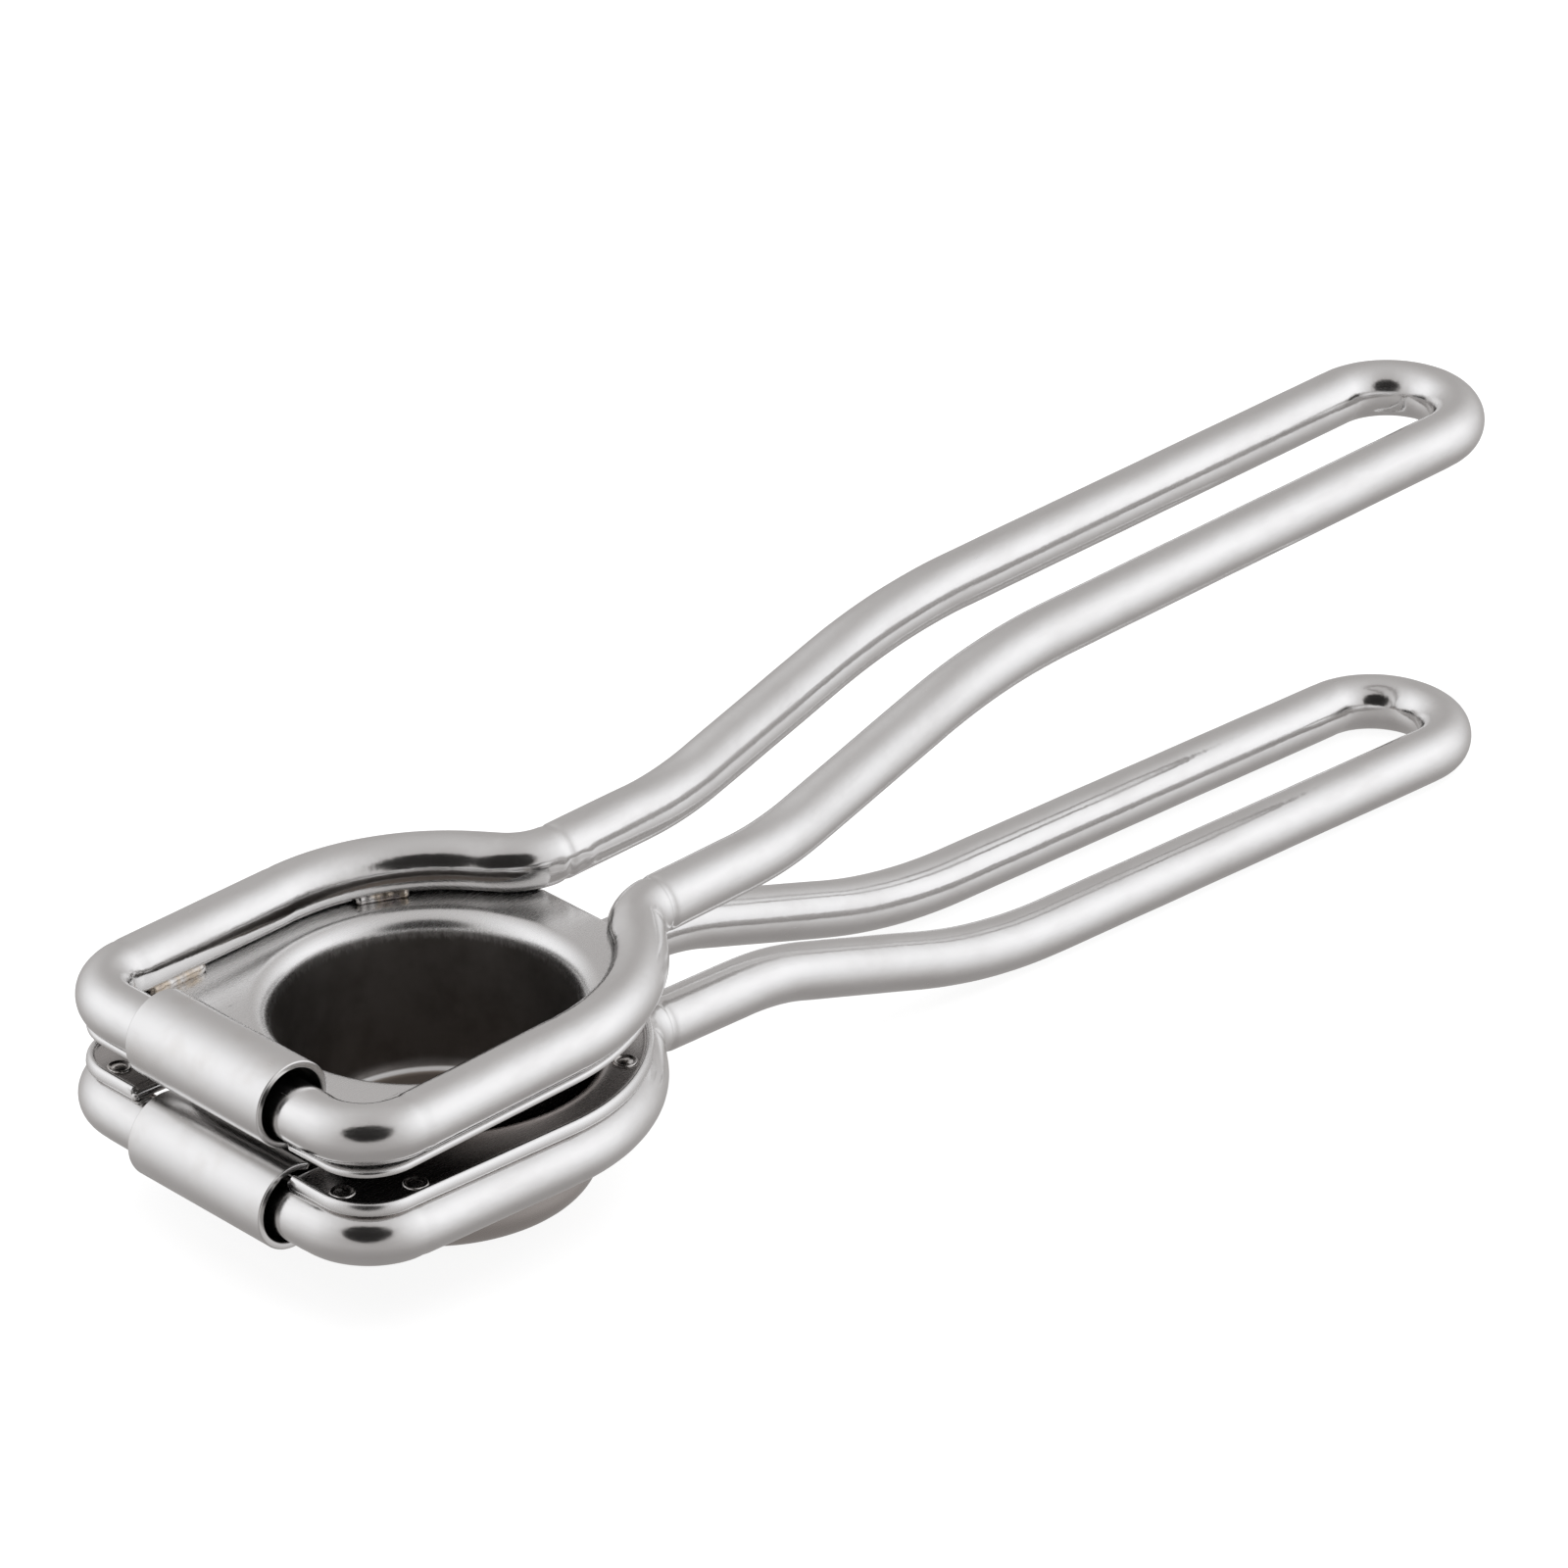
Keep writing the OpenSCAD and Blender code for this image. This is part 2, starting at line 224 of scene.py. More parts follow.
def half_path():
    """The tube's axis on the right, from the front bar's middle to the end loop's middle.
    Also returns how far along it each bend of the head starts or ends."""
    quarter = math.pi / 2
    shoulder_c, shoulder_end, neck_start, neck_c = neck_points()
    rise_tangent = RISE_BEND_R * math.tan(RISE_ANGLE / 2)
    level_tangent = LEVEL_BEND_R * math.tan(RISE_ANGLE / 2)
    slope_start = (HANDLE_W, RISE_START + rise_tangent * math.cos(RISE_ANGLE),
                   rise_tangent * math.sin(RISE_ANGLE))
    level_start = RISE_START + RISE / math.tan(RISE_ANGLE)
    slope_end = (HANDLE_W, level_start - level_tangent * math.cos(RISE_ANGLE),
                 RISE - level_tangent * math.sin(RISE_ANGLE))
    loop_y = FRAME_LEN - HANDLE_W
    pieces = [
        line((0, 0, 0), (HEAD_W - CORNER_R, 0, 0)),
        arc((HEAD_W - CORNER_R, CORNER_R, 0), CORNER_R, -quarter, 0, step=RING_STEP / 2),
        line((HEAD_W, CORNER_R, 0), (HEAD_W, CORNER_R + SIDE_LEN, 0)),
        arc(shoulder_c, SHOULDER_R, 0, SHOULDER_ANGLE),
        line(shoulder_end, neck_start, RING_STEP / 2),
        arc(neck_c, NECK_R, math.pi + SHOULDER_ANGLE, math.pi, step=RING_STEP / 3),
        line((HANDLE_W, neck_c[1], 0), (HANDLE_W, RISE_START - rise_tangent, 0), RING_STEP / 2),
        arc((HANDLE_W, RISE_START - rise_tangent, RISE_BEND_R), RISE_BEND_R,
            -quarter, RISE_ANGLE - quarter, "yz"),
        line(slope_start, slope_end),
        arc((HANDLE_W, level_start + level_tangent, RISE - LEVEL_BEND_R), LEVEL_BEND_R,
            quarter + RISE_ANGLE, quarter, "yz"),
        line((HANDLE_W, level_start + level_tangent, RISE), (HANDLE_W, loop_y, RISE)),
        arc((0, loop_y, RISE), HANDLE_W, 0, quarter, step=RING_STEP / 2),
    ]
    ends = np.cumsum([len(piece) for piece in pieces])
    points = [point for piece in pieces for point in piece]
    points.append(np.array([0, FRAME_LEN, RISE]))
    return np.array(points), [int(ends[i]) for i in (0, 1, 2, 5, 10)]


def closed_path():
    """The whole axis, how far along it each point lies, and where the tool marks are."""
    right, marks = half_path()
    left = right[-2:0:-1] * np.array([-1, 1, 1])
    path = np.vstack([right, left])
    steps = np.linalg.norm(np.roll(path, -1, axis=0) - path, axis=1)
    along = np.concatenate([[0], np.cumsum(steps)[:-1]])
    total = steps.sum()
    at = [along[i] for i in marks]
    return path, along, at + [total - distance for distance in at]


def unit(vectors):
    """The same directions with length 1."""
    return vectors / np.linalg.norm(vectors, axis=1, keepdims=True)


# Depth of the ring that the bending tool pressed in, in the order of half_path's marks
MARK_DEPTHS = (0.03, 0.09, 0.05, 0.2, 0.02)
MARK_WIDTH = 0.45
BEND_FLATTENING = 0.4                               # flattening of a bend times its radius
WAVE_DEPTH = 0.022
WAVE_SIZE = 7.0
RIPPLE_DEPTH = 0.006
RIPPLE_SIZE = 2.2


def tube_rings(path, along, marks):
    """Rings of points round the axis: flattened in the bends, marked where they start."""
    ahead = unit(np.roll(path, -1, axis=0) - np.roll(path, 1, axis=0))
    side = unit(np.cross(ahead, [0, 0, 1]))
    up = np.cross(side, ahead)
    spacing = np.linalg.norm(np.roll(path, -1, axis=0) - np.roll(path, 1, axis=0), axis=1)
    bend = (np.roll(ahead, -1, axis=0) - np.roll(ahead, 1, axis=0)) / spacing[:, None]
    bend = (np.roll(bend, 1, axis=0) + bend + np.roll(bend, -1, axis=0)) / 3
    turned = np.abs((bend * side).sum(1))
    raised = np.abs((bend * up).sum(1))
    side_r = TUBE_R * (1 - BEND_FLATTENING * turned + BEND_FLATTENING / 3 * raised)
    up_r = TUBE_R * (1 - BEND_FLATTENING * raised + BEND_FLATTENING / 3 * turned)
    pressed = np.zeros(len(path))
    for at, depth in zip(marks, MARK_DEPTHS * 2):
        pressed += depth * np.exp(-((along - at) / MARK_WIDTH) ** 2)
    angles = np.linspace(0, 2 * math.pi, RING_POINTS, endpoint=False)
    rings = (path[:, None]
             + ((side_r - pressed)[:, None] * np.cos(angles))[..., None] * side[:, None]
             + ((up_r - pressed)[:, None] * np.sin(angles))[..., None] * up[:, None])
    straight = np.stack(np.broadcast_arrays(
        along[:, None], TUBE_R * np.cos(angles), TUBE_R * np.sin(angles)), axis=-1)
    return rings, straight


# Rings left where a plug weld was dressed, on the tube's own axes, as (x, y, z) in mm
DRESSED_PLUG = (-6.1, 68.3, -0.6)
PLUG_RING_R = 1.7
PLUG_RING_WIDTH = 0.42
PLUG_RING_HEIGHT = 0.16


def dressed_plug(points, outward):
    """Raises the ring that a dressed plug weld leaves on the inner side of the far rail."""
    away = np.linalg.norm((points - np.array(DRESSED_PLUG)) * np.array([1, 0.7, 1]), axis=1)
    height = PLUG_RING_HEIGHT * np.exp(-((away - PLUG_RING_R) / PLUG_RING_WIDTH) ** 2)
    return points + outward * height[:, None]


def waved(points, outward, depth, size, seed):
    """Points moved along their outward directions by soft waves, as in hand-polished metal."""
    shift = Vector((seed * 31.7, seed * 17.3, seed * 7.9))
    waves = [noise.noise(Vector(p) / size + shift) for p in points]
    return points + outward * (np.array(waves) * depth)[:, None]


def frame_tube(name, at, seed, plugged=False):
    """One closed frame of bent tube. plugged adds the ring of the dressed plug weld."""
    path, along, marks = closed_path()
    rings, straight = tube_rings(path, along, marks)
    flat = rings.reshape(-1, 3)
    outward = unit((rings - path[:, None]).reshape(-1, 3))
    points = waved(flat, outward, WAVE_DEPTH, WAVE_SIZE, seed)
    points = waved(points, outward, RIPPLE_DEPTH, RIPPLE_SIZE, seed + 7)
    if plugged:
        points = dressed_plug(points, outward)
    faces = grid_faces(len(rings), RING_POINTS, close_rows=True)
    return add_object(name, points, faces, at, [("straight", straight.reshape(-1, 3))])


# ---- the plates ----

def plate_outline(inset):
    """Right half of a plate's outline moved inwards by inset, from the notch's middle to the
    middle of the back edge, as (point, mouth angle in degrees, share of the lip's height)."""
    edge_w = HEAD_W + PLATE_OVER
    shoulder_c = neck_points()[0][:2]
    shoulder_r = SHOULDER_R + PLATE_OVER
    back_r = TAB_FILLET
    back_angle = math.asin((PLATE_BACK - back_r - shoulder_c[1]) / (shoulder_r - back_r))
    back_way = np.array([math.cos(back_angle), math.sin(back_angle)])
    back_c = shoulder_c + (shoulder_r - back_r) * back_way
    rows = []

    def stretch(start, end, count, angles, lips=(0, 0)):
        for i in range(count):
            t = i / count
            point = np.array(start) * (1 - t) + np.array(end) * t
            rows.append((point, angles[0] + (angles[1] - angles[0]) * t,
                         lips[0] + (lips[1] - lips[0]) * t))

    def turn(centre, radius, a0, a1, count, angles, lip=0.0):
        for i in range(count):
            t = i / count
            a = a0 + (a1 - a0) * t
            point = np.array(centre) + max(radius, 0.02) * np.array([math.cos(a), math.sin(a)])
            rows.append((point, angles[0] + (angles[1] - angles[0]) * t, lip))

    quarter = math.pi / 2
    notch_c = (NOTCH_W - NOTCH_FILLET, NOTCH_DEPTH - NOTCH_FILLET)
    tab_c = (NOTCH_W + TAB_FILLET, PLATE_FRONT + TAB_FILLET)
    corner_c = (edge_w - PLATE_CORNER_R, PLATE_FRONT + PLATE_CORNER_R)
    lip_start = NOTCH_W + TAB_FILLET + 0.2
    side_end = shoulder_c[1]
    stretch((0, NOTCH_DEPTH + inset), (notch_c[0], NOTCH_DEPTH + inset), 26, (0, 38))
    turn(notch_c, NOTCH_FILLET + inset, quarter, 0, 6, (38, 40))
    stretch((NOTCH_W + inset, notch_c[1]), (NOTCH_W + inset, tab_c[1]), 8, (40, 44))
    turn(tab_c, TAB_FILLET - inset, math.pi, 3 * quarter, 6, (44, 45))
    stretch((tab_c[0], PLATE_FRONT + inset), (lip_start, PLATE_FRONT + inset), 2, (45, 46), (0, 1))
    stretch((lip_start, PLATE_FRONT + inset), (corner_c[0], PLATE_FRONT + inset), 5, (46, 49), (1, 1))
    turn(corner_c, PLATE_CORNER_R - inset, -quarter, 0, 16, (49, 64), 1.0)
    stretch((edge_w - inset, corner_c[1]), (edge_w - inset, side_end), 22, (64, 100), (1, 1))
    lip_end = back_angle - 0.06
    turn(shoulder_c, shoulder_r - inset, 0, lip_end, 26, (100, 147), 1.0)
    turn(shoulder_c, shoulder_r - inset, lip_end, back_angle, 3, (147, 150), 0.0)
    turn(back_c, back_r - inset, back_angle, quarter, 6, (150, 153))
    stretch((back_c[0], PLATE_BACK - inset), (0, PLATE_BACK - inset), 13, (153, 180))
    rows.append((np.array([0, PLATE_BACK - inset]), 180, 0))
    return rows


def whole_outline(inset):
    """The closed outline: points, mouth angles in radians and lip shares."""
    half = plate_outline(inset)
    mirrored = [(p * np.array([-1, 1]), 360 - a, lip) for p, a, lip in half[-2:0:-1]]
    rows = half + mirrored
    return (np.array([r[0] for r in rows]), np.radians([r[1] for r in rows]),
            np.array([r[2] for r in rows], float))


def bend_points(centre, radius, a0, a1, count):
    """Points (radius, height) on a bend of a drawn wall, angles in degrees."""
    return [(centre[0] + radius * math.cos(math.radians(a0 + (a1 - a0) * i / count)),
             centre[1] + radius * math.sin(math.radians(a0 + (a1 - a0) * i / count)))
            for i in range(count + 1)]


def fill(points, step):
    """The same outline with extra points, so that no stretch is longer than step."""
    out = [points[0]]
    for a, b in zip(points, points[1:]):
        count = max(1, math.ceil(math.dist(a, b) / step))
        out += [(a[0] + (b[0] - a[0]) * i / count, a[1] + (b[1] - a[1]) * i / count)
                for i in range(1, count + 1)]
    return out


PROFILE_STEP = 1.5                                  # longest stretch between a profile's points


def vessel_sides(mouth_r, top, taper, knuckle, knuckle_r, dish, flat_r):
    """Inner and outer profiles of a drawn vessel as (radius, height), from its middle to the
    flange. knuckle is the centre of the bend between wall and floor. taper and dish are the
    slopes of the wall and of the floor in degrees, and flat_r is where the floor turns flat."""
    slope = math.radians(dish)
    floor_start = (knuckle[0] + knuckle_r * math.sin(slope),
                   knuckle[1] - knuckle_r * math.cos(slope))
    floor_z = floor_start[1] - (floor_start[0] - flat_r) * math.tan(slope)
    mouth_c = (mouth_r, top - MOUTH_BEND_R)
    t = SHEET_T
    soft = 0.6                                      # the floor's slope ends this softly
    inner = [(soft, floor_z), (flat_r - soft, floor_z),
             (flat_r + soft, floor_z + soft * math.tan(slope))]
    inner += bend_points(knuckle, knuckle_r, dish - 90, -taper, 12)
    inner += bend_points(mouth_c, MOUTH_BEND_R, 180 - taper, 90, 14)
    outer_flat = flat_r + t * math.tan(slope / 2)
    outer = [(soft, floor_z - t), (outer_flat - soft, floor_z - t),
             (outer_flat + soft, floor_z - t + soft * math.tan(slope))]
    outer += bend_points(knuckle, knuckle_r + t, dish - 90, -taper, 12)
    outer += bend_points(mouth_c, MOUTH_BEND_R - t, 180 - taper, 90, 10)
    return fill(inner, PROFILE_STEP), fill(outer, PROFILE_STEP)


# Rows over a plate's edge as (inset, height without the lip, height with the lip). The heights
# are measured from the flange's underside, and the lip leans a little outwards.
EDGE_ROWS = [
    (2.2, 1.0, 1.0), (1.7, 1.0, 1.0), (1.35, 1.0, 1.05), (1.1, 1.0, 1.22), (1.0, 1.0, 1.48),
    (0.95, 1.0, 1.68), (0.84, 1.0, 1.79), (0.66, 1.0, 1.82), (0.46, 0.99, 1.76),
    (0.28, 0.95, 1.6), (0.12, 0.84, 1.3), (0.03, 0.62, 0.95), (0.0, 0.4, 0.5),
    (0.06, 0.14, 0.18), (0.24, 0.02, 0.03), (0.6, 0.0, 0.0), (1.2, 0.0, 0.0),
]
RIM_ROWS = (5, 15)                                  # the first row painted bright along the edge as a highlight, and the end of them
FLAT_SHARES = (0.15, 0.5, 0.85)                     # rows between a mouth and the edge
ON_TOP, ON_RIM, UNDERNEATH = 1.0, 2.0, 0.0          # what the materials know a row's side by


def plate_rows(profile, centre_y, under, lip):
    """All rows of a pressed plate, from the middle of its inside over the edge to the middle
    of its outside, and which side each is on. lip is 1 where the edge is turned up."""
    inner, outer = profile
    _, angles, lips = whole_outline(0)

    def circle(radius, z):
        return np.stack([radius * np.sin(angles), centre_y - radius * np.cos(angles),
                         np.full(len(angles), z)], axis=-1)

    def edge(inset, low, high):
        plan = whole_outline(inset)[0]
        z = under + low + (high - low) * lips * lip
        return np.column_stack([plan, z])

    top_edge, under_edge = edge(*EDGE_ROWS[0]), edge(*EDGE_ROWS[-1])
    inner_rows = [circle(r, z) for r, z in inner]
    top_rows = [inner_rows[-1] * (1 - t) + top_edge * t for t in FLAT_SHARES]
    edge_rows = [edge(*row) for row in EDGE_ROWS]
    outer_rows = [circle(r, z) for r, z in reversed(outer)]
    under_rows = [under_edge * (1 - t) + outer_rows[0] * t for t in FLAT_SHARES]
    rows = inner_rows + top_rows + edge_rows + under_rows + outer_rows
    top_count = len(inner_rows) + len(top_rows) + RIM_ROWS[0]
    rim_count = RIM_ROWS[1] - RIM_ROWS[0]
    sides = [ON_TOP] * top_count + [ON_RIM] * rim_count
    sides += [UNDERNEATH] * (len(rows) - len(sides))
    return np.array(rows), sides


PLATE_WAVE_DEPTH = 0.05
PLATE_WAVE_SIZE = 14.0


def plate(name, at, profile, centre_y, under, lip, seed):
    """A pressed plate. It keeps two attributes for its material: local, in mm from the vessel's
    axis, and facts, which holds the side, the distance from that axis and the height."""
    rows, sides = plate_rows(profile, centre_y, under, lip)
    columns = rows.shape[1]
    first, last = rows[0].mean(axis=0), rows[-1].mean(axis=0)
    points = np.vstack([rows.reshape(-1, 3), [first, last]])
    faces = grid_faces(len(rows), columns)
    faces += fan_faces(0, columns, len(points) - 2, False)
    faces += fan_faces((len(rows) - 1) * columns, columns, len(points) - 1, True)
    up = np.zeros_like(points)
    up[:, 2] = 1
    points = waved(points, up, PLATE_WAVE_DEPTH, PLATE_WAVE_SIZE, seed)
    sides = np.append(np.repeat(sides, columns), [ON_TOP, UNDERNEATH])
    local = points - np.array([0, centre_y, 0])
    facts = np.column_stack([sides, np.hypot(local[:, 0], local[:, 1]), local[:, 2]])
    return add_object(name, points, faces, at, [("local", local), ("facts", facts)])


def cup_profile():
    """The press cup's two profiles, hung from the underside of the upper tube."""
    under = -TUBE_R
    depth, taper, knuckle_r = 21.8, 9.0, 2.5
    mouth_r, dish, flat_r = 23.3, 7.0, 9.0
    slope = math.radians(taper)
    knuckle_z = under - depth + knuckle_r
    wall_top = under - MOUTH_BEND_R * (1 - math.sin(slope))
    drop = wall_top - knuckle_z + knuckle_r * math.sin(slope)
    wall_end = mouth_r - MOUTH_BEND_R * math.cos(slope) - drop * math.tan(slope)
    knuckle = (wall_end - knuckle_r * math.cos(slope), knuckle_z)
    return vessel_sides(mouth_r, under, taper, knuckle, knuckle_r, dish, flat_r)


def bowl_profile():
    """The strainer bowl's two profiles, from its flange on the lower tube to the table."""
    top = TUBE_R + SHEET_T
    taper, knuckle_r, knuckle_drop, dish = 2.0, 4.0, 9.7, 13.0
    mouth_r = 25.4
    slope, dish_slope = math.radians(taper), math.radians(dish)
    wall_top = top - MOUTH_BEND_R * (1 - math.sin(slope))
    drop = wall_top + knuckle_drop + knuckle_r * math.sin(slope)
    wall_end = mouth_r - MOUTH_BEND_R * math.cos(slope) - drop * math.tan(slope)
    knuckle = (wall_end - knuckle_r * math.cos(slope), -knuckle_drop)
    cone_r = knuckle[0] + knuckle_r * math.sin(dish_slope)
    cone_z = knuckle[1] - knuckle_r * math.cos(dish_slope)
    floor = BENCH + SHEET_T
    flat_r = cone_r - (cone_z - floor) / math.tan(dish_slope)
    return vessel_sides(mouth_r, top, taper, knuckle, knuckle_r, dish, flat_r)


CUP_Y = 35.0
BOWL_Y = 35.8
CUP_LINE_Z = -25.3                                  # height of the painted highlight line round its floor
BOWL_LINE_Z = -12.9
CUP_WALL_TOP = -TUBE_R - 2.4                        # height where the inside wall turns rougher and is painted dark as painted shade
BOWL_WALL_TOP = TUBE_R - 2.0
DRAIN_D = 3.0
DRAIN_COUNT = 6                                     # in the first ring, twice that in the second
DRAIN_RING = 5.0


def drain_places():
    """The middle hole and two rings of holes round it, in plan from the bowl's middle."""
    places = [(0.0, 0.0)]
    for ring in (1, 2):
        count = ring * DRAIN_COUNT
        for i in range(count):
            angle = 2 * math.pi * i / count
            places.append((ring * DRAIN_RING * math.cos(angle), ring * DRAIN_RING * math.sin(angle)))
    return places


def turned_points(profile, columns, centre=(0, 0, 0)):
    """Rows of points from a profile of (radius, height), turned about the z axis."""
    angles = np.linspace(0, 2 * math.pi, columns, endpoint=False)
    rows = [np.column_stack([r * np.cos(angles), r * np.sin(angles), np.full(columns, z)])
            for r, z in profile]
    return np.array(rows) + np.array(centre)


def drill(bowl):
    """Cuts the drain holes, with punched-in upper edges."""
    radius, wide = DRAIN_D / 2, DRAIN_D / 2 + 0.3
    profile = [(radius, BENCH - 2), (radius, BENCH + 0.75), (wide, BENCH + 1.15), (wide, BENCH + 4)]
    points, faces, columns = [], [], 28
    for x, y in drain_places():
        add_rows(points, faces, turned_points(profile, columns, (x, BOWL_Y + y, 0)))
    cutter = add_object("drain_cutter", points, faces, AT_LOWER)
    cut = bowl.modifiers.new("drain", "BOOLEAN")
    cut.operation = "DIFFERENCE"
    cut.solver = "EXACT"
    cut.object = cutter
    bpy.context.view_layer.objects.active = bowl
    bpy.ops.object.modifier_apply(modifier=cut.name)
    bpy.data.objects.remove(cutter)
    bowl.data.set_sharp_from_angle(angle=math.radians(SHARP_ANGLE))


# ---- the link ----

def link_path():
    """Middle of the link's sheet in the plane of y and z, from its free edge on the lower bar
    to its free edge on the upper one."""
    gap = (UPPER_BAR.z - LOWER_BAR.z) / MM
    low, high = BARREL_LIFTS[0], gap + BARREL_LIFTS[1]
    step = 0.3
    points = arc((0, 0, low), BARREL_R, math.radians(LINK_FREE_LOW), 2 * math.pi, "yz", step)
    points += line((0, BARREL_R, low), (0, BARREL_R, high), step)
    points += arc((0, 0, high), BARREL_R, 0, math.radians(LINK_FREE_HIGH), "yz", step)
    end = math.radians(LINK_FREE_HIGH)
    points.append(np.array([0, BARREL_R * math.cos(end), high + BARREL_R * math.sin(end)]))
    return np.array(points)


LINK_WAVE_DEPTH = 0.03
LINK_WAVE_SIZE = 9.0


def sheet_section(half_w, half_t, edge_r):
    """A flat sheet's cross-section with rounded edges, as (across, through) points."""
    corners = [(1, 1, 0), (-1, 1, 90), (-1, -1, 180), (1, -1, 270)]
    points = []
    for sx, sy, start in corners:
        for i in range(5):
            a = math.radians(start + 90 * i / 4)
            points.append((sx * (half_w - edge_r) + edge_r * math.cos(a),
                           sy * (half_t - edge_r) + edge_r * math.sin(a)))
    return points


def hinge_link(name):
    """One sheet rolled round both bars, with rounded edges and rounded free ends."""
    path = link_path()
    through = np.cross(unit(np.gradient(path, axis=0)), [1, 0, 0])
    middle = (LINK_LOW.x + LINK_HIGH.x) / 2 / MM
    half_w = (LINK_HIGH.x - LINK_LOW.x) / 2 / MM
    edge_r, finest_r = 0.22, 0.02
    insets = {0: 0.2, 1: 0.05, len(path) - 2: 0.05, len(path) - 1: 0.2}
    rows, flat = [], []
    along = 0.0
    for i, point in enumerate(path):
        inset = insets.get(i, 0.0)
        along += 0 if i == 0 else np.linalg.norm(point - path[i - 1])
        corner_r = max(edge_r - inset, finest_r)
        for x, out in sheet_section(half_w - inset, SHEET_T / 2 - inset, corner_r):
            rows.append(point + np.array([middle + x, 0, 0]) + through[i] * out)
            flat.append((x, along, out))
    columns = len(sheet_section(half_w, SHEET_T / 2, edge_r))
    faces = grid_faces(len(path), columns)
    faces.append(tuple(reversed(range(columns))))
    faces.append(tuple(range((len(path) - 1) * columns, len(path) * columns)))
    outward = np.repeat(through, columns, axis=0)
    points = waved(np.array(rows), outward, LINK_WAVE_DEPTH, LINK_WAVE_SIZE, 5)
    return add_object(name, points, faces, AT_LOWER, [("straight", flat)], sharp=50)


# ---- the welds ----

WELD_WAVE_DEPTH = 0.05


def bead_points(path, radius, columns, pitch, seed):
    """A weld bead along a path: a row of overlapping drops with closed, tapered ends."""
    path = np.array(path)
    ahead = unit(np.gradient(path, axis=0))
    side = unit(np.cross(ahead, [0, 0, 1]))
    up = np.cross(side, ahead)
    angles = np.linspace(0, 2 * math.pi, columns, endpoint=False)
    length = np.concatenate([[0], np.cumsum(np.linalg.norm(np.diff(path, axis=0), axis=1))])
    rows = []
    for i, point in enumerate(path):
        from_end = max(min(length[i], length[-1] - length[i]), 0.0)
        taper = min(1.0, math.sqrt(from_end / radius + 0.02))
        drop = 0.93 + 0.07 * abs(math.sin(math.pi * length[i] / pitch))
        ring = [taper * drop * radius * (1 + 0.12 * noise.noise(Vector((a, length[i], seed))))
                for a in angles]
        across = np.outer(ring * np.cos(angles), side[i])
        rows.append(point + across + np.outer(ring * np.sin(angles), up[i]))
    return np.array(rows)


SIDE_BEAD = (1.5, 11.5)                             # in mm along a side
SHOULDER_BEAD = (20, 36)                            # in degrees round a shoulder
SIDE_BEAD_R = 0.9                                   # mostly melted into the corner
SHOULDER_BEAD_R = 0.65
BEAD_IN = 2.3                                       # from the tube's axis towards the cup
BEAD_LIFT = 0.6                                     # from the flange to the bead's middle
BEAD_STEP = 0.2
BEAD_COLUMNS = 16
BEAD_PITCH = 1.3                                    # from one drop to the next


def cup_beads(name):
    """The weld beads between the cup's flange and the upper tube, one pair on each side."""
    z = -TUBE_R + BEAD_LIFT
    shoulder_c = neck_points()[0]
    routes = []
    for side in (1, -1):
        flip = np.array([side, 1, 1])
        start, end = (np.array((HEAD_W - BEAD_IN, CORNER_R + at, z)) for at in SIDE_BEAD)
        routes.append((np.array(line(start, end, BEAD_STEP)) * flip, SIDE_BEAD_R))
        a, b = (math.radians(angle) for angle in SHOULDER_BEAD)
        centre = (shoulder_c[0], shoulder_c[1], z)
        bend = arc(centre, SHOULDER_R - BEAD_IN, a, b, step=BEAD_STEP)
        routes.append((np.array(bend) * flip, SHOULDER_BEAD_R))
    points, faces = [], []
    for seed, (route, radius) in enumerate(routes):
        add_rows(points, faces, bead_points(route, radius, BEAD_COLUMNS, BEAD_PITCH, seed))
    return add_object(name, points, faces, AT_UPPER, sharp=60)


# Profile of a spot weld as (radius, height above the flange): a dome inside a raised ring
SPOT_PROFILE = [
    (0.05, 0.26), (0.5, 0.24), (0.85, 0.14), (1.05, 0.03), (1.2, 0.04),
    (1.36, 0.2), (1.5, 0.26), (1.62, 0.2), (1.72, 0.04), (1.8, -0.2),
]
SPOT_IN = 1.3                                       # from the tube's axis inwards
SPOT_ANGLES = (-72, 36)                             # in degrees round a corner and a shoulder
SPOT_COLUMNS = 32


def spot_places():
    """The spot welds on the right-hand side, in plan."""
    corner = np.array([HEAD_W - CORNER_R, CORNER_R])
    shoulder_c = neck_points()[0][:2]
    a, b = (math.radians(angle) for angle in SPOT_ANGLES)
    return [
        corner + (CORNER_R - SPOT_IN) * np.array([math.cos(a), math.sin(a)]),
        np.array([HEAD_W - SPOT_IN, CORNER_R + 2]),
        shoulder_c + (SHOULDER_R - SPOT_IN) * np.array([math.cos(b), math.sin(b)]),
    ]


def spot_welds(name):
    """The spot welds that hold the bowl's flange, three on each side."""
    points, faces = [], []
    for side in (1, -1):
        for x, y in spot_places():
            centre = (side * x, y, TUBE_R + SHEET_T)
            add_rows(points, faces, turned_points(SPOT_PROFILE, SPOT_COLUMNS, centre))
    up = np.tile([0.0, 0.0, 1.0], (len(points), 1))
    points = waved(np.array(points), up, WELD_WAVE_DEPTH, 0.8, 3)
    return add_object(name, points, faces, AT_LOWER, sharp=60)


# Half the profile of a butt weld as (height over the tube, half width), from its foot to its top
BUTT_PROFILE = [(-0.3, 0.75), (0.03, 0.62), (0.11, 0.35), (0.14, 0)]
BUTT_COLUMNS = 64


